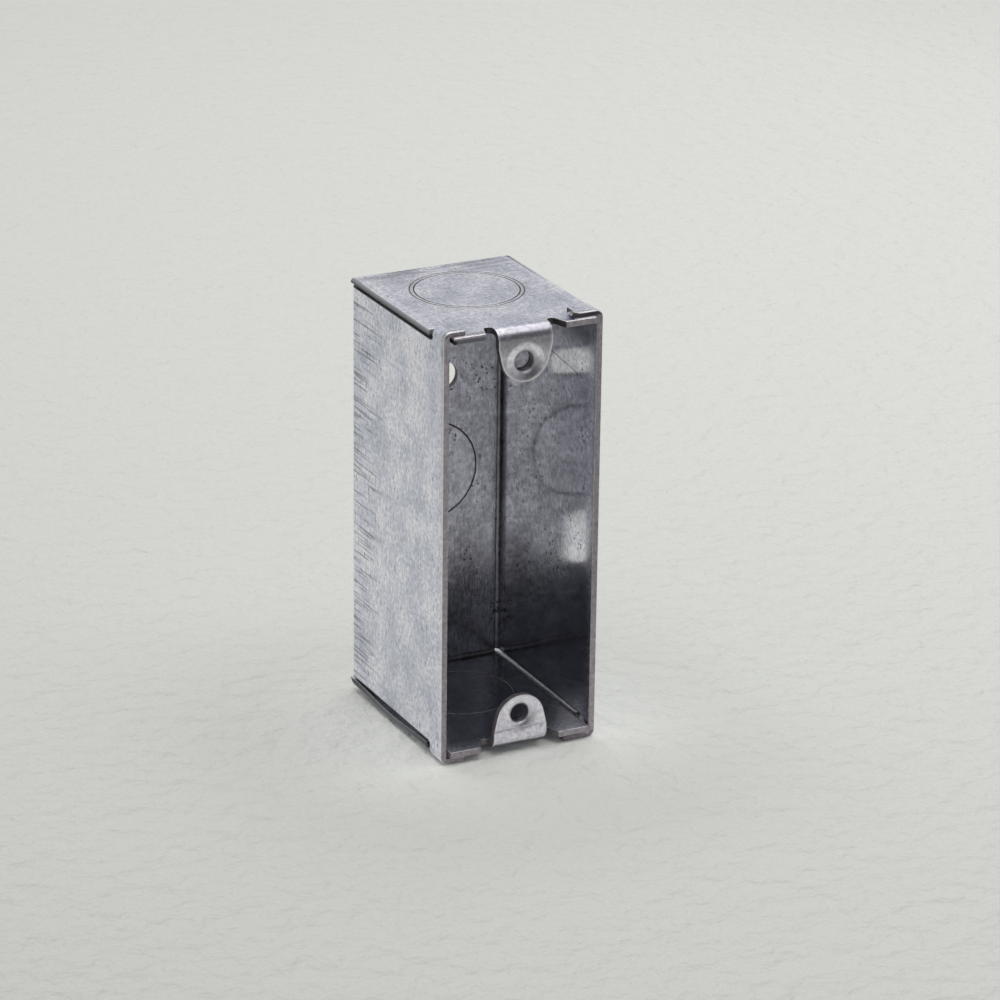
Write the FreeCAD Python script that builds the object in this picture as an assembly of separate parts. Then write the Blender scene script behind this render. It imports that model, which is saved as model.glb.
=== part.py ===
import FreeCAD, Part
import math
import os

from FreeCAD import Vector

# Flush back box for one narrow wiring accessory, folded from a single cross-shaped blank of
# galvanised steel. X runs across the box, Y from the open front to the back, Z up its long side.
# The origin is midway between the two cover screw holes, on the plane that a cover seats on.
# Lengths are in millimetres and angles in degrees.

# Sheet and overall size
sheet = 1.0                  # thickness of the steel
box_width = 28.0             # over the two side walls
box_height = 71.6            # over the two end panels
box_depth = 35.0             # from the cover plane to the back of the back plate
corner_bend_inside = 0.5     # inside radius of the four folds round the back plate
panel_overhang = 0.1         # an end panel's reach past the face of each side wall
wall_setback = 0.7           # front edges of the side walls, behind the cover plane
wall_gap = 0.5               # open joint between a side wall and each end panel
edge_rollover = 0.2          # rounding that the shear leaves along an outer edge

# Tabs that hook the side walls over the end panels at the front corners
tab_depth = 3.9              # length of a tab's root along the wall
tab_sheet = 0.8              # thickness where it is hammered over
tab_bend_outside = 1.3
tab_bend_inside = 0.25
tab_root_round = 0.5         # fillet between the tab and the wall's end
tab_tip_round = 1.8          # rounded rear corner of the tab's free end
tab_notch_across = 0.5       # clearance of the panel's notch beside the tab
tab_notch_behind = 1.1       # clearance of the panel's notch behind the tab
top_left_tab_reach = 3.7
top_left_tab_lift = 0.05     # clearance between the tab and the panel that it holds
bottom_left_tab_reach = 4.3
bottom_left_tab_lift = 0.3
top_right_tab_reach = 5.7
top_right_tab_lift = 0.05
top_right_tab_tip_round = 3.0
bottom_right_tab_reach = 5.6
bottom_right_tab_lift = 0.5
tab_curl_reach = 1.9         # stretch of the top right tab that springs up at its end
tab_curl_rise = 0.5

# Lugs for the cover screws
screw_spacing = 60.3         # between the two screw holes
screw_hole_radius = 1.6      # bore of the M3.5 thread
lug_base_width = 9.5
lug_end_radius = 4.25
lug_tip_reach = 3.3          # from the screw hole's centre to the lug's tip
lug_bend_inside = 1.0
lug_straight_side = 1.0      # stretch below the bend before the sides start to taper
hole_entry_reach = 0.8       # rounded mouth of the drawn screw hole, outwards from the bore
hole_entry_depth = 0.45      # and back from the lug's face
collar_length = 1.2          # drawn collar behind the lug
collar_wall = 0.65
relief_round = 0.8           # rounded inner end of the relief beside a lug
relief_mouth = 2.3           # width of the relief at the panel's front edge

# Knockouts, sheared nearly through and pressed back level
knockout_radius = 8.55
knockout_rim_radius = 9.25   # witness ring that the punch leaves round the disc outside
knockout_from_front = 20.9   # centre of an end knockout, from the cover plane
shear_width = 0.2
shear_depth = 0.35           # from each face, so a web holds the disc
witness_width = 0.18
witness_depth = 0.12

# Fixing slots in the back plate
slot_length = 10.0
slot_width = 4.7
slot_offset = 16.4           # of each slot's centre from the middle of the box

# Sizes that follow from these
half_width = box_width / 2
half_height = box_height / 2
corner_bend_outside = corner_bend_inside + sheet
wall_end = half_height - sheet - wall_gap
flat_back = box_depth - corner_bend_outside
lug_bend_outside = lug_bend_inside + sheet
tab_back = wall_setback + tab_depth
tab_root = half_height - sheet / 2     # where a tab starts from its wall
screw_height = screw_spacing / 2
past = 1.0                   # how far a cutting solid runs past what it cuts

ACROSS = Vector(1, 0, 0)
BACK = Vector(0, 1, 0)
UP = Vector(0, 0, 1)


def outline(start, *steps):
    """Face inside a closed outline; a step is a corner, or a pair (point on the arc, its end)."""
    edges = []
    here = start
    for step in steps:
        if isinstance(step, tuple):
            edges.append(Part.Arc(here, step[0], step[1]).toShape())
            here = step[1]
        else:
            edges.append(Part.LineSegment(here, step).toShape())
            here = step
    if (here - start).Length > 1e-6:
        edges.append(Part.LineSegment(here, start).toShape())
    return Part.Face(Part.Wire(edges))


def along_arc(centre, radius, angle, first, second):
    """Point of a circle in the plane of two unit vectors, at an angle from the first."""
    turn = math.radians(angle)
    return centre + first * (radius * math.cos(turn)) + second * (radius * math.sin(turn))


def tangent_angle(point, centre, radius):
    """Angle at which a line from a 2-D point touches a circle, on its right-hand side."""
    across = point[0] - centre[0]
    along = point[1] - centre[1]
    reach = math.hypot(across, along)
    return math.degrees(math.atan2(along, across) - math.acos(radius / reach))


def block(low, high):
    """Box between two opposite corners."""
    size = high - low
    return Part.makeBox(size.x, size.y, size.z, low)


def both_ends(shape):
    """The shape at the top end, with its mirror image at the bottom end."""
    return [shape, shape.mirror(Vector(0, 0, 0), UP)]


def both_sides(shape):
    """The shape on the right side, with its mirror image on the left side."""
    return [shape, shape.mirror(Vector(0, 0, 0), ACROSS)]


def channel():
    """Back plate with both end panels, as one folded U that is wider than the side walls."""
    left = Vector(-half_width - panel_overhang, 0, 0)

    def at(depth, height):
        return left + BACK * depth + UP * height

    def bend(radius, sign, angle):
        centre = at(flat_back, sign * (half_height - corner_bend_outside))
        return along_arc(centre, radius, angle, BACK, UP * sign)

    outer, inner = corner_bend_outside, corner_bend_inside
    face = outline(
        at(0, half_height),
        at(flat_back, half_height),
        (bend(outer, 1, 45), bend(outer, 1, 0)),
        bend(outer, -1, 0),
        (bend(outer, -1, 45), bend(outer, -1, 90)),
        at(0, -half_height),
        at(0, sheet - half_height),
        bend(inner, -1, 90),
        (bend(inner, -1, 45), bend(inner, -1, 0)),
        bend(inner, 1, 0),
        (bend(inner, 1, 45), bend(inner, 1, 90)),
        at(0, half_height - sheet),
    )
    return face.extrude(ACROSS * (box_width + 2 * panel_overhang))


def corner_slits():
    """Room that the blank leaves beside the back plate for the folds of the side walls."""
    low = Vector(half_width - corner_bend_outside, flat_back - corner_bend_inside, sheet - half_height)
    high = Vector(half_width + past, box_depth + past, half_height - sheet)
    return both_sides(block(low, high))


def tab_notches():
    """Notches in the front corners of both end panels, which the side walls' tabs pass."""
    low = Vector(half_width - sheet - tab_notch_across, -past, half_height - sheet - past)
    high = Vector(half_width + past, tab_back + tab_notch_behind, half_height + past)
    right = block(low, high)
    return [part for side in both_sides(right) for part in both_ends(side)]


def lug_mouth():
    """What the panel loses where its lug is folded: the lug's strip and a relief on each side."""
    lug_side = lug_base_width / 2
    below = Vector(0, 0, half_height - sheet - past)
    round_centre = (lug_side + relief_round, lug_bend_outside)
    mouth_corner = (lug_side + relief_mouth, 0)
    touch = tangent_angle(mouth_corner, round_centre, relief_round) + 2 * math.degrees(
        math.acos(relief_round / math.hypot(mouth_corner[0] - round_centre[0], lug_bend_outside)))

    def at(across, depth):
        return below + ACROSS * across + BACK * depth

    def end_round(side, angle):
        centre = at(side * round_centre[0], round_centre[1])
        return along_arc(centre, relief_round, angle, ACROSS * side, BACK)

    middle = (touch + 180) / 2
    face = outline(
        at(-mouth_corner[0], -past),
        at(-mouth_corner[0], 0),
        end_round(-1, touch),
        (end_round(-1, middle), end_round(-1, 180)),
        at(lug_side, lug_bend_outside),
        (end_round(1, middle), end_round(1, touch)),
        at(mouth_corner[0], 0),
        at(mouth_corner[0], -past),
    )
    return both_ends(face.extrude(UP * (sheet + 2 * past)))


def lug():
    """Top lug: folded down from the end panel, tapered, with a drawn screw hole."""
    fold = half_height - lug_bend_outside
    tip = screw_height - lug_tip_reach
    left = Vector(-lug_base_width / 2, 0, 0)

    def side(depth, height):
        return left + BACK * depth + UP * height

    def bend(radius, angle):
        return along_arc(side(lug_bend_outside, fold), radius, angle, BACK * -1, UP)

    strip = outline(
        side(0, tip),
        side(0, fold),
        (bend(lug_bend_outside, 45), bend(lug_bend_outside, 90)),
        bend(lug_bend_inside, 90),
        (bend(lug_bend_inside, 45), bend(lug_bend_inside, 0)),
        side(sheet, tip),
    ).extrude(ACROSS * lug_base_width)

    end_centre = (0, tip + lug_end_radius)
    shoulder = (lug_base_width / 2, fold - lug_straight_side)
    touch = tangent_angle(shoulder, end_centre, lug_end_radius)

    def front(across, height):
        return Vector(across, -past, height)

    def end_round(side_sign, angle):
        centre = front(*end_centre)
        return along_arc(centre, lug_end_radius, angle, ACROSS * side_sign, UP)

    shape = outline(
        front(-shoulder[0], half_height + past),
        front(*(-shoulder[0], shoulder[1])),
        end_round(-1, touch),
        (end_round(1, -90), end_round(1, touch)),
        front(*shoulder),
        front(shoulder[0], half_height + past),
    ).extrude(BACK * (lug_bend_outside + 2 * past))

    centre = Vector(0, 0, screw_height)
    collar = Part.makeCylinder(
        screw_hole_radius + collar_wall, collar_length + sheet / 2, centre + BACK * (sheet / 2), BACK)
    return strip.common(shape).fuse(collar)


def screw_hole():
    """Cutting solid of the top screw hole, whose mouth is rounded by the drawing punch."""
    mouth = screw_hole_radius + hole_entry_reach
    entry_radius = (hole_entry_reach ** 2 + hole_entry_depth ** 2) / (2 * hole_entry_depth)
    entry_turn = math.degrees(math.asin(hole_entry_reach / entry_radius))
    centre = Vector(0, 0, screw_height)

    def at(radius, depth):
        return centre + ACROSS * radius + BACK * depth

    halfway = along_arc(at(mouth, entry_radius), entry_radius, entry_turn / 2, BACK * -1, ACROSS * -1)
    face = outline(
        at(0, -past),
        at(mouth, -past),
        at(mouth, 0),
        (halfway, at(screw_hole_radius, hole_entry_depth)),
        at(screw_hole_radius, sheet + collar_length + past),
        at(0, sheet + collar_length + past),
    )
    return face.revolve(centre, BACK, 360)


def side_wall():
    """Right side wall with the roots of its two tabs, and the fold that joins the back plate."""
    def at(depth, height):
        return Vector(half_width - sheet, depth, height)

    def fillet(sign, angle):
        centre = at(tab_back + tab_root_round, sign * (wall_end + tab_root_round))
        return along_arc(centre, tab_root_round, angle, BACK * -1, UP * -sign)

    flat = outline(
        at(wall_setback, -tab_root),
        at(tab_back, -tab_root),
        fillet(-1, 0),
        (fillet(-1, 45), fillet(-1, 90)),
        at(flat_back, -wall_end),
        at(flat_back, wall_end),
        fillet(1, 90),
        (fillet(1, 45), fillet(1, 0)),
        at(tab_back, tab_root),
        at(wall_setback, tab_root),
    ).extrude(ACROSS * sheet)

    centre = Vector(half_width - corner_bend_outside, flat_back, -wall_end)

    def bend(radius, angle):
        return along_arc(centre, radius, angle, ACROSS, BACK)

    fold = outline(
        bend(corner_bend_outside, 0),
        (bend(corner_bend_outside, 45), bend(corner_bend_outside, 90)),
        bend(corner_bend_inside, 90),
        (bend(corner_bend_inside, 45), bend(corner_bend_inside, 0)),
    ).extrude(UP * (2 * wall_end))
    return flat.fuse(fold)


def tab(reach, lift, tip_round, curl_reach=0.0, curl_rise=0.0):
    """Top right tab, from the end of its root over the panel, with or without a sprung-up end."""
    under = half_height + lift
    top = under + tab_sheet
    bend_start = top - tab_bend_outside
    free_end = half_width - reach
    level_end = free_end + curl_reach

    def at(across, height):
        return Vector(across, wall_setback, height)

    def outer(angle):
        return along_arc(at(half_width - tab_bend_outside, bend_start), tab_bend_outside, angle, ACROSS, UP)

    def inner(angle):
        centre = at(half_width - sheet - tab_bend_inside, under - tab_bend_inside)
        return along_arc(centre, tab_bend_inside, angle, ACROSS, UP)

    if curl_reach:
        curl_radius = (curl_reach ** 2 + curl_rise ** 2) / (2 * curl_rise)
        curl_turn = math.degrees(math.asin(curl_reach / curl_radius))
        curl_centre = at(level_end, under + curl_radius)

        def curl(radius, share):
            return along_arc(curl_centre, radius, curl_turn * share, UP * -1, ACROSS * -1)

        over = curl_radius - tab_sheet
        end = [at(level_end, top), (curl(over, 0.5), curl(over, 1)), curl(curl_radius, 1),
               (curl(curl_radius, 0.5), at(level_end, under))]
    else:
        end = [at(free_end, top), at(free_end, under)]
    hook = outline(
        at(half_width, tab_root),
        at(half_width, bend_start),
        (outer(45), outer(90)),
        *end,
        inner(90),
        (inner(45), inner(0)),
        at(half_width - sheet, tab_root),
    ).extrude(BACK * tab_depth)

    def plan(across, depth):
        return Vector(across, depth, tab_root - past)

    corner = plan(free_end + tip_round, tab_back - tip_round)
    trim = outline(
        plan(free_end - past, tab_back - tip_round),
        plan(free_end, tab_back - tip_round),
        (along_arc(corner, tip_round, 45, ACROSS * -1, BACK), plan(free_end + tip_round, tab_back)),
        plan(free_end + tip_round, tab_back + past),
        plan(free_end - past, tab_back + past),
    ).extrude(UP * (lift + tab_sheet + curl_rise + sheet + 2 * past))
    return hook.cut(trim)


def ring(centre, axis, radius, width, depth):
    """Ring-shaped groove cutter that starts at a face and goes along the axis."""
    start = centre - axis * past
    outer = Part.makeCylinder(radius + width / 2, depth + past, start, axis)
    inner = Part.makeCylinder(radius - width / 2, depth + past, start, axis)
    return outer.cut(inner)


def knockout(centre, outward):
    """Grooves of one knockout: a shear line on both faces and the punch's ring outside."""
    inward = outward * -1
    return [
        ring(centre, inward, knockout_radius, shear_width, shear_depth),
        ring(centre, inward, knockout_rim_radius, witness_width, witness_depth),
        ring(centre + inward * sheet, outward, knockout_radius, shear_width, shear_depth),
    ]


def slot(centre, direction):
    """Round-ended slot through the back plate, along a direction."""
    reach = (slot_length - slot_width) / 2
    side = direction.cross(BACK)
    radius = slot_width / 2

    def at(along, beside):
        return centre + direction * along + side * beside - BACK * past

    face = outline(
        at(-reach, -radius),
        at(reach, -radius),
        (at(reach + radius, 0), at(reach, radius)),
        at(-reach, radius),
        (at(-reach - radius, 0), at(-reach, -radius)),
    )
    return face.extrude(BACK * (sheet + 2 * past))


def back_box():
    """The whole folded box as one solid."""
    folded = channel().cut(corner_slits() + tab_notches() + lug_mouth())
    top_left = tab(top_left_tab_reach, top_left_tab_lift, tab_tip_round)
    bottom_left = tab(bottom_left_tab_reach, bottom_left_tab_lift, tab_tip_round)
    top_right = tab(
        top_right_tab_reach, top_right_tab_lift, top_right_tab_tip_round, tab_curl_reach, tab_curl_rise)
    bottom_right = tab(bottom_right_tab_reach, bottom_right_tab_lift, tab_tip_round)
    left_tabs = [top_left, bottom_left.mirror(Vector(0, 0, 0), UP)]
    tabs = [part.mirror(Vector(0, 0, 0), ACROSS) for part in left_tabs]
    tabs += [top_right, bottom_right.mirror(Vector(0, 0, 0), UP)]
    folded = folded.fuse(both_sides(side_wall()) + tabs + both_ends(lug()))

    cuts = both_ends(screw_hole())
    cuts += knockout(Vector(0, knockout_from_front, half_height), UP)
    cuts += knockout(Vector(0, knockout_from_front, -half_height), UP * -1)
    cuts += knockout(Vector(0, box_depth, 0), BACK)
    inside_back = box_depth - sheet
    cuts.append(slot(Vector(0, inside_back, slot_offset), ACROSS))
    cuts.append(slot(Vector(0, inside_back, -slot_offset), UP))
    return folded.cut(cuts).removeSplitter()


def roll_edges(solid):
    """Round the sheared edges that show from outside: walls' fronts and panels' sides and fronts."""
    chosen = []
    for edge in solid.Edges:
        middle = edge.CenterOfMass
        straight = edge.Curve.TypeId == "Part::GeomLine"
        wall_front = abs(abs(middle.x) - half_width) < 1e-4 and abs(middle.y - wall_setback) < 1e-4
        panel_face = abs(abs(middle.z) - half_height) < 1e-4
        panel_side = panel_face and abs(abs(middle.x) - half_width - panel_overhang) < 1e-4
        panel_front = panel_face and abs(middle.y) < 1e-4
        if straight and (wall_front or panel_side or panel_front):
            chosen.append(edge)
    return solid.makeFillet(edge_rollover, chosen)


box = roll_edges(back_box())
solid = box.Solids[0]
os.makedirs("parts", exist_ok=True)
solid.exportStep("parts/back_box.step")
print("solids", len(box.Solids), "valid", solid.isValid(), "volume", round(solid.Volume, 2))
print("bounds", solid.BoundBox)
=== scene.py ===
import math

import bmesh
import bpy
from mathutils import Matrix, Vector
from mathutils.bvhtree import BVHTree


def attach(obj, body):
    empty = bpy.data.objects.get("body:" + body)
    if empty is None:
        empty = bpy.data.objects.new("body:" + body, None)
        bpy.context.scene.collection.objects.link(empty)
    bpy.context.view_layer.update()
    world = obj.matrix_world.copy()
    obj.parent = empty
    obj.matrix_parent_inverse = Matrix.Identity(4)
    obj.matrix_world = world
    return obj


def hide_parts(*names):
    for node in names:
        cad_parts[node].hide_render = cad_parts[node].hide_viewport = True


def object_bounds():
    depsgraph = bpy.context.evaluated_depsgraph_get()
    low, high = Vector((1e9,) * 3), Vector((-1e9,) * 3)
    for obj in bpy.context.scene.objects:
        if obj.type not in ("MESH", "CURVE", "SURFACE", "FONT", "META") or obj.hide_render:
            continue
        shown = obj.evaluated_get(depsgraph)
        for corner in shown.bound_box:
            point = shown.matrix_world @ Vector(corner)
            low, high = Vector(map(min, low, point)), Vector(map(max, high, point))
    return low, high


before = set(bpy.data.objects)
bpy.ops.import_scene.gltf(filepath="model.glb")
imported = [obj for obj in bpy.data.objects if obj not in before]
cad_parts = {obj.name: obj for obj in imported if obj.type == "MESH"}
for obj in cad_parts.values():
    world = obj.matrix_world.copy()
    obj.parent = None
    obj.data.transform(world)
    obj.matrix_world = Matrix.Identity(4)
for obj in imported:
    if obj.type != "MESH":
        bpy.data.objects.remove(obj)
cad_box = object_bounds()


# Folded steel box: one cross-shaped blank of galvanised steel sheet, 1 mm thick, blanked and
# pierced in a press and folded round the back plate. Its corner tabs are hammered over the end
# panels, and its lugs are folded down at the ends of the front.
MM = 0.001
SHEET = 1.0 * MM
HALF_WIDTH = 14.0 * MM
HALF_HEIGHT = 35.8 * MM
DEPTH = 35.0 * MM
SCREW_HEIGHT = 30.15 * MM
SCREW_HOLE = 1.6 * MM
KNOCKOUT_FROM_FRONT = 20.9 * MM


def linear(hex_colour):
    """An sRGB hex colour as the linear RGBA that a shader takes."""
    channels = [int(hex_colour[i:i + 2], 16) / 255 for i in (1, 3, 5)]
    return [c / 12.92 if c <= 0.04045 else ((c + 0.055) / 1.055) ** 2.4 for c in channels] + [1.0]


def add(tree, kind, inputs=None, **settings):
    """Adds a node with its settings; an input that is a socket is linked, any other is a value."""
    node = tree.nodes.new(kind)
    for name, value in settings.items():
        setattr(node, name, value)
    for name, value in (inputs or {}).items():
        if isinstance(value, bpy.types.NodeSocket):
            tree.links.new(value, node.inputs[name])
        else:
            node.inputs[name].default_value = value
    return node


def new_material(name):
    """An empty node material and its tree, with the object's own coordinates."""
    material = bpy.data.materials.new(name)
    material.use_nodes = True
    tree = material.node_tree
    tree.nodes.clear()
    place = add(tree, "ShaderNodeTexCoord").outputs["Object"]
    return material, tree, place


# Galvanised steel, zinc-coated in the strip mill and rolled: a dull bluish metal, mottled where
# the passivation took unevenly, with a fine grain along the strip, upright on the walls.
zinc, tree, place = new_material("galvanised_steel_sheet")
CLOUD = 7.0 * MM
MOTTLE = 0.7 * MM
GRAIN_ACROSS = 0.22 * MM      # coarser than the real rolling grain, so that it shows
GRAIN_ALONG = 1.1 * MM
GRIME = 2.4 * MM
BUCKLE = 9.0 * MM

cloud = add(tree, "ShaderNodeTexNoise", {"Vector": place, "Scale": 1 / CLOUD, "Detail": 3.0,
                                         "Roughness": 0.6})
mottle = add(tree, "ShaderNodeTexNoise", {"Vector": place, "Scale": 1 / MOTTLE, "Detail": 4.0,
                                          "Roughness": 0.65})
along_strip = add(tree, "ShaderNodeMapping", {
    "Vector": place, "Scale": (1 / GRAIN_ACROSS, 1 / GRAIN_ACROSS, 1 / GRAIN_ALONG)})
grain = add(tree, "ShaderNodeTexNoise", {"Vector": along_strip.outputs[0], "Scale": 1.0,
                                         "Detail": 3.0, "Roughness": 0.7})
cloudy = add(tree, "ShaderNodeMapRange", {0: cloud.outputs[0], 1: 0.36, 2: 0.64})
tone = add(tree, "ShaderNodeMix", {0: cloudy.outputs[0], 6: linear("#D8DCE9"), 7: linear("#E6E5F1")},
           data_type="RGBA")
mottled = add(tree, "ShaderNodeMapRange", {0: mottle.outputs[0], 1: 0.3, 2: 0.7, 3: 0.66, 4: 1.18})
grained = add(tree, "ShaderNodeMapRange", {0: grain.outputs[0], 1: 0.3, 2: 0.7, 3: 0.68, 4: 1.22})
shade = add(tree, "ShaderNodeMath", {0: mottled.outputs[0], 1: grained.outputs[0]},
            operation="MULTIPLY")
clouded = add(tree, "ShaderNodeMapRange", {0: cloud.outputs[0], 1: 0.35, 2: 0.65, 3: 0.88, 4: 1.08})
shade = add(tree, "ShaderNodeMath", {0: shade.outputs[0], 1: clouded.outputs[0]},
            operation="MULTIPLY")

# Inside, the sheet kept more of the mill's bright finish, under a thin film of oil and dirt.
FILM_STARTS, FILM_FULL = 1.1 * MM, 4.0 * MM      # behind the front
FACE_IN, END_FACE_IN = 0.95 * SHEET, 0.3 * SHEET      # the second takes in the sagging bottom
from_middle = add(tree, "ShaderNodeVectorMath", {0: place}, operation="ABSOLUTE")
to_inner_face = add(tree, "ShaderNodeVectorMath", {
    0: from_middle.outputs[0],
    1: (1 / (HALF_WIDTH - FACE_IN), 1 / (DEPTH - FACE_IN), 1 / (HALF_HEIGHT - END_FACE_IN))},
    operation="MULTIPLY")
inner_face = add(tree, "ShaderNodeSeparateXYZ", {0: to_inner_face.outputs[0]})
wider = add(tree, "ShaderNodeMath", {0: inner_face.outputs[0], 1: inner_face.outputs[1]},
            operation="MAXIMUM")
widest = add(tree, "ShaderNodeMath", {0: wider.outputs[0], 1: inner_face.outputs[2]},
             operation="MAXIMUM")
enclosed = add(tree, "ShaderNodeMath", {0: widest.outputs[0], 1: 1.0}, operation="LESS_THAN")
spot = add(tree, "ShaderNodeSeparateXYZ", {0: place})
behind_front = add(tree, "ShaderNodeMapRange", {0: spot.outputs[1], 1: FILM_STARTS, 2: FILM_FULL})
inside = add(tree, "ShaderNodeMath", {0: enclosed.outputs[0], 1: behind_front.outputs[0]},
             operation="MULTIPLY")
grime = add(tree, "ShaderNodeTexNoise", {"Vector": place, "Scale": 1 / GRIME, "Detail": 5.0,
                                         "Roughness": 0.7})
grimy = add(tree, "ShaderNodeMapRange", {0: grime.outputs[0], 1: 0.38, 2: 0.6, 3: 0.83, 4: 1.03})
filmed = add(tree, "ShaderNodeMix", {0: inside.outputs[0], 2: 1.0, 3: grimy.outputs[0]})
shade = add(tree, "ShaderNodeMath", {0: shade.outputs[0], 1: filmed.outputs[0]}, operation="MULTIPLY")
tone = add(tree, "ShaderNodeMix", {0: inside.outputs[0], 6: tone.outputs[2], 7: linear("#DFDFE8")},
           data_type="RGBA")

# The side walls are painted brighter than the rest, painted light on what they mirror. Inside, painted
# shade darkens the back plate and the bottom low down and the walls above their middle, most just
# under the top, and painted light brightens the walls low down.
PLATE_DARKEST, PLATE_LIGHTEST = -34.0 * MM, 8.0 * MM      # heights, as the next six are
WALL_BRIGHTEST, WALL_LESS_BRIGHT, WALL_DARKER_FROM, WALL_DARKEST = -24.0 * MM, -12.0 * MM, -8.0 * MM, 0.0
UNDER_TOP_FROM, UNDER_TOP = 28.0 * MM, 31.5 * MM
from_middle_out = add(tree, "ShaderNodeSeparateXYZ", {0: from_middle.outputs[0]})
near_wall = add(tree, "ShaderNodeMath", {0: from_middle_out.outputs[0], 1: HALF_WIDTH - 1.5 * SHEET},
                operation="GREATER_THAN")
# Painted light: the side walls painted brighter than the rest.
walls_painted_brighter = add(tree, "ShaderNodeMapRange", {0: near_wall.outputs[0], 3: 1.0, 4: 1.18})
shade = add(tree, "ShaderNodeMath", {0: shade.outputs[0], 1: walls_painted_brighter.outputs[0]}, operation="MULTIPLY")
# Painted shade low on the back plate and the bottom. On the walls, painted light low down and painted
# shade above their middle.
plate_painted_shade = add(tree, "ShaderNodeMapRange", {0: spot.outputs[2], 1: PLATE_DARKEST, 2: PLATE_LIGHTEST,
                                              3: 0.62, 4: 1.04})
wall_painted_light_low = add(tree, "ShaderNodeMapRange", {0: spot.outputs[2], 1: WALL_BRIGHTEST, 2: WALL_LESS_BRIGHT,
                                            3: 1.5, 4: 1.14})
wall_painted_light_and_shade = add(tree, "ShaderNodeMapRange", {0: spot.outputs[2], 1: WALL_DARKER_FROM, 2: WALL_DARKEST,
                                             3: wall_painted_light_low.outputs[0], 4: 0.79})
inside_painted_light_and_shade = add(tree, "ShaderNodeMix", {0: near_wall.outputs[0], 2: plate_painted_shade.outputs[0],
                                   3: wall_painted_light_and_shade.outputs[0]})
inside_painted_light_and_shade = add(tree, "ShaderNodeMix", {0: inside.outputs[0], 2: 1.0, 3: inside_painted_light_and_shade.outputs[0]})
shade = add(tree, "ShaderNodeMath", {0: shade.outputs[0], 1: inside_painted_light_and_shade.outputs[0]}, operation="MULTIPLY")
# Painted shade on the inner faces of the walls just under the top.
under_top = add(tree, "ShaderNodeMapRange", {0: spot.outputs[2], 1: UNDER_TOP_FROM, 2: UNDER_TOP})
wall_inside = add(tree, "ShaderNodeMath", {0: near_wall.outputs[0], 1: enclosed.outputs[0]},
                  operation="MULTIPLY")
shade_under_top = add(tree, "ShaderNodeMath", {0: under_top.outputs[0], 1: wall_inside.outputs[0]},
                 operation="MULTIPLY")
painted_shade_under_top = add(tree, "ShaderNodeMapRange", {0: shade_under_top.outputs[0], 3: 1.0, 4: 0.36})
shade = add(tree, "ShaderNodeMath", {0: shade.outputs[0], 1: painted_shade_under_top.outputs[0]}, operation="MULTIPLY")

# The folding bar smeared the rear of the top across its width. In front of the smears the top is
# painted a tenth brighter, painted light, and a band round the knockout is painted darker, painted
# shade of its groove.
SMEAR_ALONG, SMEAR_ACROSS = 6.0 * MM, 0.9 * MM
SMEARED_FROM, SMEARED = 26.0 * MM, 32.0 * MM      # behind the front
BAND_RADIUS, BAND_BREADTH = 9.0 * MM, 1.0 * MM
top_face = add(tree, "ShaderNodeMapRange", {0: spot.outputs[2], 1: HALF_HEIGHT - 0.2 * SHEET,
                                            2: HALF_HEIGHT - 0.1 * SHEET})
smear_place = add(tree, "ShaderNodeMapping", {
    "Vector": place, "Rotation": (0, 0, math.radians(12)),
    "Scale": (1 / SMEAR_ALONG, 1 / SMEAR_ACROSS, 1 / SMEAR_ACROSS)})
smears = add(tree, "ShaderNodeTexNoise", {"Vector": smear_place.outputs[0], "Scale": 1.0,
                                          "Detail": 2.0})
smear_zone = add(tree, "ShaderNodeMapRange", {0: spot.outputs[1], 1: SMEARED_FROM, 2: SMEARED})
smear_tone = add(tree, "ShaderNodeMapRange", {0: smears.outputs[0], 1: 0.38, 2: 0.6, 3: 0.72,
                                              4: 1.14})
# In front of the smears the top is painted a tenth brighter: painted light.
smears_and_painted_light = add(tree, "ShaderNodeMix", {0: smear_zone.outputs[0], 2: 1.1, 3: smear_tone.outputs[0]})
across_top = add(tree, "ShaderNodeVectorMath", {0: place, 1: (0, KNOCKOUT_FROM_FRONT, 0)},
                 operation="SUBTRACT")
across_top = add(tree, "ShaderNodeVectorMath", {0: across_top.outputs[0], 1: (1, 1, 0)},
                 operation="MULTIPLY")
from_knockout = add(tree, "ShaderNodeVectorMath", {0: across_top.outputs[0]}, operation="LENGTH")
in_band = add(tree, "ShaderNodeMath", {0: from_knockout.outputs["Value"], 1: BAND_RADIUS,
                                       2: BAND_BREADTH / 2}, operation="COMPARE")
# A band round the knockout painted darker: painted shade of its groove.
painted_groove_shade = add(tree, "ShaderNodeMapRange", {0: in_band.outputs[0], 3: 1.0, 4: 0.86})
smears_and_painted_light = add(tree, "ShaderNodeMath", {0: smears_and_painted_light.outputs[0], 1: painted_groove_shade.outputs[0]},
              operation="MULTIPLY")
top_smears_and_light = add(tree, "ShaderNodeMix", {0: top_face.outputs[0], 2: 1.0, 3: smears_and_painted_light.outputs[0]})
shade = add(tree, "ShaderNodeMath", {0: shade.outputs[0], 1: top_smears_and_light.outputs[0]}, operation="MULTIPLY")

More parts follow.
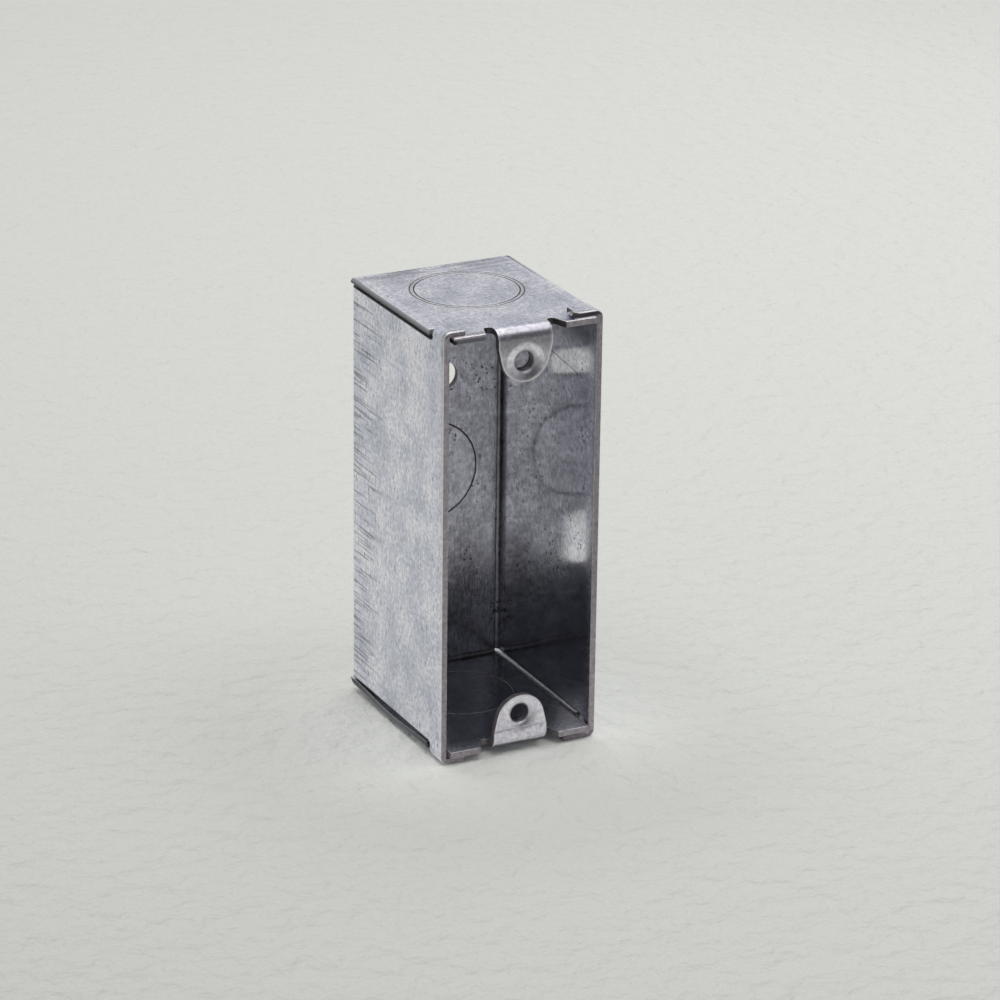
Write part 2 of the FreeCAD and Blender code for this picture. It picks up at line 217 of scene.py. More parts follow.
# Dirt along the folds of the back plate, with painted shade in them: at the side walls in a crisp line
# where the bend starts and in a ragged band that thins out along the wall, at the end panels in a thin
# band.
BEND_LINE = 0.24 * MM
DIRT_RAGGED = 0.9 * MM
WALL_DIRT_FROM, WALL_DIRT = 30.9 * MM, 33.3 * MM      # behind the front, as the next two are
END_DIRT_FROM, END_DIRT = 32.6 * MM, 33.4 * MM
ragged = add(tree, "ShaderNodeMapRange", {0: mottle.outputs[0], 1: 0.3, 2: 0.7, 3: -DIRT_RAGGED,
                                          4: DIRT_RAGGED})
dirt_edge = add(tree, "ShaderNodeMath", {0: spot.outputs[1], 1: ragged.outputs[0]}, operation="ADD")
dirt_band = add(tree, "ShaderNodeMapRange", {0: dirt_edge.outputs[0], 1: WALL_DIRT_FROM,
                                             2: WALL_DIRT}, interpolation_type="SMOOTHSTEP")
dirt_wall = add(tree, "ShaderNodeMath", {0: near_wall.outputs[0], 1: dirt_band.outputs[0]},
                operation="MULTIPLY")
bend_line = add(tree, "ShaderNodeMath", {0: from_middle_out.outputs[0], 1: HALF_WIDTH - 1.55 * SHEET,
                                         2: BEND_LINE / 2}, operation="COMPARE")
fold_dirt_and_shade = add(tree, "ShaderNodeMath", {0: dirt_wall.outputs[0], 1: bend_line.outputs[0]},
           operation="MAXIMUM")
near_end = add(tree, "ShaderNodeMath", {0: from_middle_out.outputs[2], 1: HALF_HEIGHT - 1.7 * SHEET},
               operation="GREATER_THAN")
dirt_corner = add(tree, "ShaderNodeMapRange", {0: dirt_edge.outputs[0], 1: END_DIRT_FROM,
                                               2: END_DIRT})
dirt_end = add(tree, "ShaderNodeMath", {0: near_end.outputs[0], 1: dirt_corner.outputs[0]},
               operation="MULTIPLY")
fold_dirt_and_shade = add(tree, "ShaderNodeMath", {0: fold_dirt_and_shade.outputs[0], 1: dirt_end.outputs[0]}, operation="MAXIMUM")
fold_dirt_and_shade = add(tree, "ShaderNodeMath", {0: fold_dirt_and_shade.outputs[0], 1: enclosed.outputs[0]}, operation="MULTIPLY")
# Darker in the folds: dirt and painted shade.
dirt_and_painted_shade = add(tree, "ShaderNodeMapRange", {0: fold_dirt_and_shade.outputs[0], 3: 1.0, 4: 0.45})
shade = add(tree, "ShaderNodeMath", {0: shade.outputs[0], 1: dirt_and_painted_shade.outputs[0]}, operation="MULTIPLY")

# Drag lines, where the folding die drew over the outside next to the bends of the back: thin dark
# scores about 8 mm long, in loose groups.
SCORE_ACROSS = 0.4 * MM
SCORE_ALONG = 14.0 * MM
GROUP = 1.7 * MM
SCORED_FROM, SCORED = 25.0 * MM, 29.5 * MM      # behind the front
SCORES_STAGGERED = 3.5 * MM
along_draw = add(tree, "ShaderNodeMapping", {
    "Vector": place, "Rotation": (math.radians(-11), 0, 0),
    "Scale": (1 / SCORE_ACROSS, 1 / SCORE_ALONG, 1 / SCORE_ACROSS)})
scores = add(tree, "ShaderNodeTexNoise", {"Vector": along_draw.outputs[0], "Scale": 1.0,
                                          "Detail": 2.0, "Roughness": 0.5})
groups = add(tree, "ShaderNodeTexNoise", {"Vector": along_draw.outputs[0],
                                          "Scale": SCORE_ACROSS / GROUP, "Detail": 1.0})
score_line = add(tree, "ShaderNodeMapRange", {0: scores.outputs[0], 1: 0.53, 2: 0.59})
score_end = add(tree, "ShaderNodeMapRange", {0: groups.outputs[0], 1: 0.35, 2: 0.65,
                                             3: -SCORES_STAGGERED, 4: SCORES_STAGGERED})
score_reach = add(tree, "ShaderNodeMath", {0: spot.outputs[1], 1: score_end.outputs[0]},
                  operation="ADD")
score_zone = add(tree, "ShaderNodeMapRange", {0: score_reach.outputs[0], 1: SCORED_FROM, 2: SCORED})
score = add(tree, "ShaderNodeMath", {0: score_line.outputs[0], 1: score_zone.outputs[0]},
            operation="MULTIPLY")
outer = add(tree, "ShaderNodeMath", {0: widest.outputs[0], 1: 1.03}, operation="GREATER_THAN")
score = add(tree, "ShaderNodeMath", {0: score.outputs[0], 1: outer.outputs[0]}, operation="MULTIPLY")
scored = add(tree, "ShaderNodeMapRange", {0: score.outputs[0], 3: 1.0, 4: 0.48})
shade = add(tree, "ShaderNodeMath", {0: shade.outputs[0], 1: scored.outputs[0]}, operation="MULTIPLY")

# Small pits and flecks of soot, thicker inside than outside, short nicks along the grain, and one long
# thin dark line on the inner face of the right wall, a painted reflection.
FLECK_SPACING = 0.85 * MM
REFLECTED_LINE_SLOPE, REFLECTED_LINE_HEIGHT, REFLECTED_LINE_BREADTH = 0.106, 23.29 * MM, 0.18 * MM
REFLECTED_LINE_MIDDLE, REFLECTED_LINE_LENGTH = 10.8 * MM, 11.2 * MM
SAME_FACE = 0.2 * MM
NICKS_APART_ACROSS, NICKS_APART_ALONG = 1.6 * MM, 6.0 * MM
flecks = add(tree, "ShaderNodeTexVoronoi", {"Vector": place, "Scale": 1 / FLECK_SPACING})
fleck_most = add(tree, "ShaderNodeMapRange", {0: inside.outputs[0], 3: 0.12, 4: 0.29})
fleck_size = add(tree, "ShaderNodeMapRange", {0: cloud.outputs[0], 1: 0.42, 2: 0.61, 3: 0.0,
                                              4: fleck_most.outputs[0]})
fleck = add(tree, "ShaderNodeMath", {0: flecks.outputs["Distance"], 1: fleck_size.outputs[0]},
            operation="LESS_THAN")
# A thin dark line on the right wall's inner face: a painted reflection.
reflected_line_height = add(tree, "ShaderNodeMath", {0: spot.outputs[1], 1: REFLECTED_LINE_SLOPE,
                                            2: REFLECTED_LINE_HEIGHT}, operation="MULTIPLY_ADD")
painted_reflection_line = add(tree, "ShaderNodeMath", {0: spot.outputs[2], 1: reflected_line_height.outputs[0],
                                       2: REFLECTED_LINE_BREADTH / 2}, operation="COMPARE")
reflected_line_reach = add(tree, "ShaderNodeMath", {0: spot.outputs[1], 1: REFLECTED_LINE_MIDDLE,
                                             2: REFLECTED_LINE_LENGTH / 2}, operation="COMPARE")
painted_reflection_line = add(tree, "ShaderNodeMath", {0: painted_reflection_line.outputs[0], 1: reflected_line_reach.outputs[0]},
              operation="MULTIPLY")
right_wall = add(tree, "ShaderNodeMath", {0: spot.outputs[0], 1: HALF_WIDTH - SHEET, 2: SAME_FACE},
                 operation="COMPARE")
painted_reflection_line = add(tree, "ShaderNodeMath", {0: painted_reflection_line.outputs[0], 1: right_wall.outputs[0]},
              operation="MULTIPLY")
nick_place = add(tree, "ShaderNodeMapping", {
    "Vector": place,
    "Scale": (1 / NICKS_APART_ACROSS, 1 / NICKS_APART_ACROSS, 1 / NICKS_APART_ALONG)})
nicks = add(tree, "ShaderNodeTexVoronoi", {"Vector": nick_place.outputs[0], "Scale": 1.0})
nick = add(tree, "ShaderNodeMapRange", {0: nicks.outputs["Distance"], 1: 0.06, 2: 0.12, 3: 0.7,
                                        4: 0.0})
mark = add(tree, "ShaderNodeMath", {0: fleck.outputs[0], 1: painted_reflection_line.outputs[0]}, operation="MAXIMUM")
mark = add(tree, "ShaderNodeMath", {0: mark.outputs[0], 1: nick.outputs[0]}, operation="MAXIMUM")
marked = add(tree, "ShaderNodeMapRange", {0: mark.outputs[0], 3: 1.0, 4: 0.25})
shade = add(tree, "ShaderNodeMath", {0: shade.outputs[0], 1: marked.outputs[0]}, operation="MULTIPLY")

# Round each screw hole the punch dished the lug. A ring round the hole is painted brighter, most above
# it and on the upper lug, painted light on the dish, and the dish's lower right is painted darker,
# painted shade. The upper lug is painted darker than the lower one, most towards and on its bend,
# painted shade, and over the base of the lower lug the sheet puckered when it was folded, with painted
# shade in the crease.
LUG_FACE, LUG_BACK = 1.05 * MM, 1.9 * MM      # behind the front
HIGHLIGHT_RING, RING_BRIGHT, RING_FADED = 2.75 * MM, 0.3 * MM, 0.75 * MM
BELOW_HOLE, ABOVE_HOLE = -1.5 * MM, 2.0 * MM
BEND_SHADE_FROM, BEND_SHADE_FULL, BEND_FROM, BEND = 31.2 * MM, 33.2 * MM, 33.6 * MM, 34.3 * MM      # heights
PUCKER_LOW, PUCKER_HIGH, PUCKER_REACH = -32.9 * MM, -32.2 * MM, 0.28 * MM
DISH_SHADE_INNER, DISH_SHADE_OUTER, DISH_SHADE_FROM, DISH_SHADE_FULL = 2.0 * MM, 3.2 * MM, 0.8 * MM, 3.0 * MM
DISH_INNER, DISH_OUTER = 1.9 * MM, 3.5 * MM
from_hole = add(tree, "ShaderNodeVectorMath", {0: from_middle.outputs[0], 1: (0, 0, SCREW_HEIGHT)},
                operation="SUBTRACT")
flat_from_hole = add(tree, "ShaderNodeVectorMath", {0: from_hole.outputs[0], 1: (1, 0, 1)},
                     operation="MULTIPLY")
hole_distance = add(tree, "ShaderNodeVectorMath", {0: flat_from_hole.outputs[0]}, operation="LENGTH")
ring_gap = add(tree, "ShaderNodeMath", {0: hole_distance.outputs["Value"], 1: HIGHLIGHT_RING},
               operation="SUBTRACT")
ring_gap = add(tree, "ShaderNodeMath", {0: ring_gap.outputs[0]}, operation="ABSOLUTE")
over_hole = add(tree, "ShaderNodeSeparateXYZ", {0: from_hole.outputs[0]})
upwards = add(tree, "ShaderNodeMath", {0: spot.outputs[2]}, operation="SIGN")
over_hole = add(tree, "ShaderNodeMath", {0: over_hole.outputs[2], 1: upwards.outputs[0]},
                operation="MULTIPLY")
# Painted light: a ring round each hole painted brighter, most above it and on the upper lug.
ring_highlight_most = add(tree, "ShaderNodeMapRange", {0: spot.outputs[2], 1: -SCREW_HEIGHT, 2: SCREW_HEIGHT,
                                             3: 1.12, 4: 1.95})
ring_light = add(tree, "ShaderNodeMapRange", {0: over_hole.outputs[0], 1: BELOW_HOLE, 2: ABOVE_HOLE,
                                              3: 0.95, 4: ring_highlight_most.outputs[0]})
ring_painted_highlight = add(tree, "ShaderNodeMapRange", {0: ring_gap.outputs[0], 1: RING_BRIGHT, 2: RING_FADED,
                                           3: ring_light.outputs[0], 4: 1.0})
on_lug = add(tree, "ShaderNodeMapRange", {0: spot.outputs[1], 1: LUG_FACE, 2: LUG_BACK, 3: 1.0,
                                          4: 0.0})
# Painted light and shade: the lower lug painted brighter than the upper, and the upper one darker
# towards and on its bend.
lug_shade = add(tree, "ShaderNodeMapRange", {0: spot.outputs[2], 1: -SCREW_HEIGHT, 2: SCREW_HEIGHT,
                                             3: 1.3, 4: 0.84})
lug_shade = add(tree, "ShaderNodeMath", {0: lug_shade.outputs[0], 1: ring_painted_highlight.outputs[0]},
                operation="MULTIPLY")
near_bend = add(tree, "ShaderNodeMapRange", {0: spot.outputs[2], 1: BEND_SHADE_FROM, 2: BEND_SHADE_FULL, 3: 1.0,
                                             4: 0.58})
on_bend = add(tree, "ShaderNodeMapRange", {0: spot.outputs[2], 1: BEND_FROM, 2: BEND})
near_bend = add(tree, "ShaderNodeMix", {0: on_bend.outputs[0], 2: near_bend.outputs[0], 3: 0.78})
lug_shade = add(tree, "ShaderNodeMath", {0: lug_shade.outputs[0], 1: near_bend.outputs[0]},
                operation="MULTIPLY")
scuffs = add(tree, "ShaderNodeMapRange", {0: mottle.outputs[0], 1: 0.38, 2: 0.62, 3: 0.9, 4: 1.1})
lug_shade = add(tree, "ShaderNodeMath", {0: lug_shade.outputs[0], 1: scuffs.outputs[0]},
                operation="MULTIPLY")
lug_painted_light_and_shade = add(tree, "ShaderNodeMix", {0: on_lug.outputs[0], 2: 1.0, 3: lug_shade.outputs[0]})
pucker_line = add(tree, "ShaderNodeMapRange", {0: mottle.outputs[0], 1: 0.3, 2: 0.7,
                                               3: PUCKER_LOW, 4: PUCKER_HIGH})
pucker_gap = add(tree, "ShaderNodeMath", {0: spot.outputs[2], 1: pucker_line.outputs[0]},
                 operation="SUBTRACT")
pucker_gap = add(tree, "ShaderNodeMath", {0: pucker_gap.outputs[0]}, operation="ABSOLUTE")
pucker = add(tree, "ShaderNodeMapRange", {0: pucker_gap.outputs[0], 1: 0.0, 2: PUCKER_REACH, 3: 1.0,
                                          4: 0.0})
crease = add(tree, "ShaderNodeMath", {0: pucker.outputs[0], 1: on_lug.outputs[0]},
             operation="MULTIPLY")
# Painted shade at the lower right of each dish.
right_below = add(tree, "ShaderNodeMath", {0: spot.outputs[0], 1: over_hole.outputs[0]},
                  operation="SUBTRACT")
right_below = add(tree, "ShaderNodeMapRange", {0: right_below.outputs[0], 1: DISH_SHADE_FROM, 2: DISH_SHADE_FULL})
dish_painted_shade = add(tree, "ShaderNodeMapRange", {0: hole_distance.outputs["Value"], 1: DISH_SHADE_INNER,
                                         2: DISH_SHADE_OUTER, 3: 0.8, 4: 0.0})
dish_painted_shade = add(tree, "ShaderNodeMath", {0: dish_painted_shade.outputs[0], 1: right_below.outputs[0]},
            operation="MULTIPLY")
dish_painted_shade = add(tree, "ShaderNodeMath", {0: dish_painted_shade.outputs[0], 1: on_lug.outputs[0]},
            operation="MULTIPLY")
# Painted shade in the pucker's crease and at the dish's lower right.
crease_painted_shade = add(tree, "ShaderNodeMath", {0: crease.outputs[0], 1: 0.45}, operation="MULTIPLY")
lug_shade_mask = add(tree, "ShaderNodeMath", {0: crease_painted_shade.outputs[0], 1: dish_painted_shade.outputs[0]},
               operation="MAXIMUM")
dish = add(tree, "ShaderNodeMapRange", {0: hole_distance.outputs["Value"], 1: DISH_INNER,
                                        2: DISH_OUTER, 3: -1.0, 4: 0.0},
           interpolation_type="SMOOTHSTEP")
lug_relief = add(tree, "ShaderNodeMath", {0: pucker.outputs[0], 1: dish.outputs[0]}, operation="ADD")
lug_relief = add(tree, "ShaderNodeMath", {0: lug_relief.outputs[0], 1: on_lug.outputs[0]},
                 operation="MULTIPLY")
smoothed = add(tree, "ShaderNodeMapRange", {0: on_lug.outputs[0], 3: 0.0, 4: 0.6})
shade = add(tree, "ShaderNodeMix", {0: smoothed.outputs[0], 2: shade.outputs[0], 3: 0.84})
shade = add(tree, "ShaderNodeMath", {0: shade.outputs[0], 1: lug_painted_light_and_shade.outputs[0]},
            operation="MULTIPLY")
lug_painted_shade = add(tree, "ShaderNodeMapRange", {0: lug_shade_mask.outputs[0], 3: 1.0, 4: 0.46})
shade = add(tree, "ShaderNodeMath", {0: shade.outputs[0], 1: lug_painted_shade.outputs[0]},
            operation="MULTIPLY")
tone = add(tree, "ShaderNodeMix", {0: on_lug.outputs[0], 6: tone.outputs[2], 7: linear("#DFDCE6")},
           data_type="RGBA")
tone = add(tree, "ShaderNodeMix", {0: 1.0, 6: tone.outputs[2], 7: shade.outputs[0]},
           data_type="RGBA", blend_type="MULTIPLY")

# Painted highlights brighten the edges, most on the lugs and least inside, but not in the joints at
# the walls' ends, whose end faces are painted dark grey instead, painted shade in the joint.
EDGE_HIGHLIGHT, EDGE_HIGHLIGHT_LUG = 0.28 * MM, 0.65 * MM
JOINT_SHADE = 0.32 * MM
BEHIND_TABS = 5.2 * MM
edge_highlight_radius = add(tree, "ShaderNodeMapRange", {0: on_lug.outputs[0], 3: EDGE_HIGHLIGHT, 4: EDGE_HIGHLIGHT_LUG})
rounded = add(tree, "ShaderNodeBevel", {"Radius": edge_highlight_radius.outputs[0]}, samples=4)
flat = add(tree, "ShaderNodeNewGeometry")
turned = add(tree, "ShaderNodeVectorMath", {0: rounded.outputs[0], 1: flat.outputs["Normal"]},
             operation="DOT_PRODUCT")
edge_highlight_strength = add(tree, "ShaderNodeMapRange", {0: inside.outputs[0], 3: 0.9, 4: 0.35})
# Painted highlight along the edges.
painted_edge_highlight = add(tree, "ShaderNodeMapRange", {0: turned.outputs["Value"], 1: 0.995, 2: 0.94, 3: 0.0,
                                          4: edge_highlight_strength.outputs[0]})
tone = add(tree, "ShaderNodeMix", {0: painted_edge_highlight.outputs[0], 6: tone.outputs[2], 7: linear("#FAF9FB")},
           data_type="RGBA")
# The walls' end faces in the joints are painted dark grey: painted shade in the gap.
joint_painted_shade = add(tree, "ShaderNodeMath", {0: from_middle_out.outputs[2], 1: HALF_HEIGHT - 1.5 * SHEET,
                                        2: JOINT_SHADE / 2}, operation="COMPARE")
behind_tab = add(tree, "ShaderNodeMath", {0: spot.outputs[1], 1: BEHIND_TABS},
                 operation="GREATER_THAN")
joint_painted_shade = add(tree, "ShaderNodeMath", {0: joint_painted_shade.outputs[0], 1: behind_tab.outputs[0]},
               operation="MULTIPLY")
joint_painted_shade = add(tree, "ShaderNodeMath", {0: joint_painted_shade.outputs[0], 1: near_wall.outputs[0]},
               operation="MULTIPLY")
tone = add(tree, "ShaderNodeMix", {0: joint_painted_shade.outputs[0], 6: tone.outputs[2], 7: linear("#5A5A5E")},
           data_type="RGBA")

# Gloss: nearly a mirror inside, duller outside and dull in the dirt. The sheet's slight buckling
# bends what it mirrors, and its grain breaks that up.
WALLS_INSIDE, PLATE_INSIDE, OUTSIDE = 0.06, 0.2, 0.3
BUCKLE_DEPTH, GRAIN_DEPTH, RELIEF_DEPTH = 0.05 * MM, 0.02 * MM, 0.24 * MM
facing = add(tree, "ShaderNodeMapRange", {0: near_wall.outputs[0], 3: PLATE_INSIDE,
                                          4: WALLS_INSIDE})
finish = add(tree, "ShaderNodeMapRange", {0: inside.outputs[0], 3: OUTSIDE,
                                          4: facing.outputs[0]})
uneven = add(tree, "ShaderNodeMapRange", {0: grain.outputs[0], 1: 0.35, 2: 0.65, 3: -0.02, 4: 0.07})
gloss = add(tree, "ShaderNodeMath", {0: finish.outputs[0], 1: uneven.outputs[0]}, operation="ADD")
gloss = add(tree, "ShaderNodeMath", {0: fold_dirt_and_shade.outputs[0], 1: 0.3, 2: gloss.outputs[0]},
            operation="MULTIPLY_ADD")
buckle = add(tree, "ShaderNodeTexNoise", {"Vector": place, "Scale": 1 / BUCKLE, "Detail": 1.0})
buckled = add(tree, "ShaderNodeBump", {"Height": buckle.outputs[0], "Distance": BUCKLE_DEPTH,
                                       "Normal": rounded.outputs[0]})

# The right wall bulges a little into the box, so its inner face leans towards the back and the
# top, by these slopes, which shows in what it mirrors.
SLOPE_LOW_RIM, SLOPE_FRONT, SLOPE_REAR = 0.047, 0.03, 0.095      # towards the back
SLOPE_LOW, SLOPE_HIGH = -0.01, 0.03      # towards the top
RIM_LOW, RIM_HIGH, RISE_FROM, RISE_FULL = -2.0 * MM, 6.0 * MM, 3.0 * MM, 16.0 * MM      # heights
RIM, RIM_ENDS, STEEPER_FROM, STEEPEST = 3.0 * MM, 10.0 * MM, 12.0 * MM, 32.0 * MM      # depths
lean_at_rim = add(tree, "ShaderNodeMapRange", {0: spot.outputs[2], 1: RIM_LOW, 2: RIM_HIGH,
                                               3: SLOPE_LOW_RIM, 4: SLOPE_FRONT})
lean_in_front = add(tree, "ShaderNodeMapRange", {0: spot.outputs[1], 1: RIM, 2: RIM_ENDS,
                                                 3: lean_at_rim.outputs[0], 4: SLOPE_FRONT})
lean_back = add(tree, "ShaderNodeMapRange", {
    0: spot.outputs[1], 1: STEEPER_FROM, 2: STEEPEST, 3: lean_in_front.outputs[0], 4: SLOPE_REAR},
    interpolation_type="SMOOTHSTEP")
lean_up = add(tree, "ShaderNodeMapRange", {0: spot.outputs[2], 1: RISE_FROM, 2: RISE_FULL,
                                           3: SLOPE_LOW, 4: SLOPE_HIGH})
lean = add(tree, "ShaderNodeCombineXYZ", {1: lean_back.outputs[0], 2: lean_up.outputs[0]})
lean = add(tree, "ShaderNodeVectorMath", {0: lean.outputs[0], "Scale": right_wall.outputs[0]},
           operation="SCALE")
leaning = add(tree, "ShaderNodeVectorMath", {0: buckled.outputs[0], 1: lean.outputs[0]},
              operation="ADD")
leaning = add(tree, "ShaderNodeVectorMath", {0: leaning.outputs[0]}, operation="NORMALIZE")
grainy = add(tree, "ShaderNodeMath", {0: grain.outputs[0], 1: mottle.outputs[0]}, operation="ADD")
rough = add(tree, "ShaderNodeBump", {"Height": grainy.outputs[0], "Strength": 0.22,
                                     "Distance": GRAIN_DEPTH, "Normal": leaning.outputs[0]})
puckered = add(tree, "ShaderNodeBump", {"Height": lug_relief.outputs[0], "Distance": RELIEF_DEPTH,
                                        "Normal": rough.outputs[0]})
metal = add(tree, "ShaderNodeBsdfPrincipled", {
    "Base Color": tone.outputs[2], "Metallic": 1.0, "Roughness": gloss.outputs[0],
    "Normal": puckered.outputs[0]})
add(tree, "ShaderNodeOutputMaterial", {"Surface": metal.outputs[0]})

# Sheared edge of the mild steel, bare of zinc: a matt grey, slightly pink with the first rust,
# with the torn, blotchy band that the shear leaves across the thickness.
raw_edge, tree, place = new_material("sheared_mild_steel_edge")
BLOTCH, BLOTCH_DEPTH = 0.7 * MM, 0.05 * MM
BURR_RADIUS = 0.13 * MM
blotch = add(tree, "ShaderNodeTexNoise", {"Vector": place, "Scale": 1 / BLOTCH, "Detail": 4.0,
                                          "Roughness": 0.65})
blotchy = add(tree, "ShaderNodeMapRange", {0: blotch.outputs[0], 1: 0.32, 2: 0.68})
edge_tone = add(tree, "ShaderNodeMix", {0: blotchy.outputs[0], 6: linear("#8C838B"),
                                        7: linear("#BEB6BC")}, data_type="RGBA")
edge_spot = add(tree, "ShaderNodeSeparateXYZ", {0: place})
end_height = add(tree, "ShaderNodeMath", {0: edge_spot.outputs[2]}, operation="ABSOLUTE")

# The tabs' edges are painted darker, most on the right ones, and so are the narrow cuts: lugs,
# reliefs, knockouts and slots, most at the top. This is painted shade.
RELIEF_REACH, CUT_REACH = 7.1 * MM, 9.4 * MM      # from the middle, in front and behind
RELIEFS_END, CUTS_START = 4.0 * MM, 5.0 * MM
TAB_MIDDLE, SHADE_HEIGHT = 9.0 * MM, 30.0 * MM
cut_reach = add(tree, "ShaderNodeMapRange", {0: edge_spot.outputs[1], 1: RELIEFS_END, 2: CUTS_START,
                                             3: RELIEF_REACH, 4: CUT_REACH})
in_cut = add(tree, "ShaderNodeMath", {0: edge_spot.outputs[0], 1: 0.0, 2: cut_reach.outputs[0]},
             operation="COMPARE")
on_tab = add(tree, "ShaderNodeMath", {0: end_height.outputs[0], 1: HALF_HEIGHT + 0.1 * SHEET},
             operation="GREATER_THAN")
rightwards = add(tree, "ShaderNodeMapRange", {0: edge_spot.outputs[0], 1: -TAB_MIDDLE, 2: TAB_MIDDLE,
                                              3: 0.35, 4: 1.0})
on_tab = add(tree, "ShaderNodeMath", {0: on_tab.outputs[0], 1: rightwards.outputs[0]},
             operation="MULTIPLY")
shaded_edge = add(tree, "ShaderNodeMath", {0: in_cut.outputs[0], 1: on_tab.outputs[0]}, operation="MAXIMUM")
# Painted shade on the tabs' edges and the narrow cuts.
edge_shade = add(tree, "ShaderNodeMapRange", {0: edge_spot.outputs[2], 1: -SHADE_HEIGHT, 2: SHADE_HEIGHT,
                                        3: 0.6, 4: 0.2})
edge_shaded = add(tree, "ShaderNodeMix", {0: shaded_edge.outputs[0], 2: 1.0, 3: edge_shade.outputs[0]})
edge_tone = add(tree, "ShaderNodeMix", {0: 1.0, 6: edge_tone.outputs[2], 7: edge_shaded.outputs[0]},
                data_type="RGBA", blend_type="MULTIPLY")

# The edges of the right wall are painted darker, painted shade, except low down, where they are
# painted a little brighter, painted light.
BRIGHTER_BELOW, DARKER_ABOVE = -28.0 * MM, -8.0 * MM
RIGHT_FROM, RIGHT = 6.0 * MM, 13.0 * MM
right_edge_light_and_shade = add(tree, "ShaderNodeMapRange", {0: edge_spot.outputs[2], 1: BRIGHTER_BELOW, 2: DARKER_ABOVE,
                                        3: 1.1, 4: 0.84})
far_right = add(tree, "ShaderNodeMapRange", {0: edge_spot.outputs[0], 1: RIGHT_FROM, 2: RIGHT})
right_edges_painted = add(tree, "ShaderNodeMix", {0: far_right.outputs[0], 2: 1.0, 3: right_edge_light_and_shade.outputs[0]})
edge_tone = add(tree, "ShaderNodeMix", {0: 1.0, 6: edge_tone.outputs[2], 7: right_edges_painted.outputs[0]},
                data_type="RGBA", blend_type="MULTIPLY")

# On the long sides of the end panels the edge is painted darker from its outer rim into the joint,
# painted shade, most on the bottom panel.
BOTTOM_SIDE, TOP_SIDE = -34.0 * MM, 34.0 * MM
joint_light_and_shade = add(tree, "ShaderNodeMapRange", {0: end_height.outputs[0], 1: HALF_HEIGHT - SHEET,
                                            2: HALF_HEIGHT - 0.05 * SHEET, 3: 0.3, 4: 1.9})
lighter_up = add(tree, "ShaderNodeMapRange", {0: edge_spot.outputs[2], 1: BOTTOM_SIDE, 2: TOP_SIDE,
                                              3: 0.25, 4: 0.72})
painted_edge_shade = add(tree, "ShaderNodeMath", {0: joint_light_and_shade.outputs[0], 1: lighter_up.outputs[0]},
             operation="MULTIPLY")
on_long_side = add(tree, "ShaderNodeMath", {0: edge_spot.outputs[1], 1: BEHIND_TABS},
                   operation="GREATER_THAN")
outwards = add(tree, "ShaderNodeMath", {0: in_cut.outputs[0]}, operation="LESS_THAN")
on_long_side = add(tree, "ShaderNodeMath", {0: on_long_side.outputs[0], 1: outwards.outputs[0]},
                   operation="MULTIPLY")
side_tone = add(tree, "ShaderNodeMix", {0: 1.0, 6: linear("#A2A4AA"), 7: painted_edge_shade.outputs[0]},
                data_type="RGBA", blend_type="MULTIPLY")
edge_tone = add(tree, "ShaderNodeMix", {0: on_long_side.outputs[0], 6: edge_tone.outputs[2],
                                        7: side_tone.outputs[2]}, data_type="RGBA")

# The top panel's front edge at its left is painted dark grey below its upper rim of bare steel,
# painted shade, and darkest in its corner behind the tab, painted shade in the corner hole.
SHADED_MIDDLE, SHADED_LENGTH = -10.0 * MM, 5.7 * MM
RIM_BOTTOM, FULLY_SHADED_BELOW, SHADED_LOWEST = 35.5 * MM, 35.35 * MM, 34.5 * MM
CORNER_FROM, CORNER = -11.8 * MM, -12.3 * MM
shaded_across = add(tree, "ShaderNodeMath", {0: edge_spot.outputs[0], 1: SHADED_MIDDLE,
                                             2: SHADED_LENGTH / 2}, operation="COMPARE")
shaded_front_edge = add(tree, "ShaderNodeMapRange", {0: edge_spot.outputs[2], 1: RIM_BOTTOM, 2: FULLY_SHADED_BELOW})
shaded_front_edge = add(tree, "ShaderNodeMath", {0: shaded_front_edge.outputs[0], 1: shaded_across.outputs[0]},
                  operation="MULTIPLY")
at_top = add(tree, "ShaderNodeMath", {0: edge_spot.outputs[2], 1: SHADED_LOWEST},
             operation="GREATER_THAN")
shaded_front_edge = add(tree, "ShaderNodeMath", {0: shaded_front_edge.outputs[0], 1: at_top.outputs[0]},
                  operation="MULTIPLY")
corner_hole = add(tree, "ShaderNodeMapRange", {0: edge_spot.outputs[0], 1: CORNER_FROM, 2: CORNER})
# Painted shade on the top panel's front edge and in its corner hole.
front_edge_shade_tone = add(tree, "ShaderNodeMix", {0: corner_hole.outputs[0], 6: linear("#6C6E75"),
                                          7: linear("#28282C")}, data_type="RGBA")
edge_tone = add(tree, "ShaderNodeMix", {0: shaded_front_edge.outputs[0], 6: edge_tone.outputs[2],
                                        7: front_edge_shade_tone.outputs[2]}, data_type="RGBA")

rounded = add(tree, "ShaderNodeBevel", {"Radius": BURR_RADIUS}, samples=4)
edge_bump = add(tree, "ShaderNodeBump", {"Height": blotch.outputs[0], "Strength": 0.4,
                                         "Distance": BLOTCH_DEPTH, "Normal": rounded.outputs[0]})
metal = add(tree, "ShaderNodeBsdfPrincipled", {
    "Base Color": edge_tone.outputs[2], "Metallic": 0.6, "Roughness": 0.48,
    "Normal": edge_bump.outputs[0]})
add(tree, "ShaderNodeOutputMaterial", {"Surface": metal.outputs[0]})

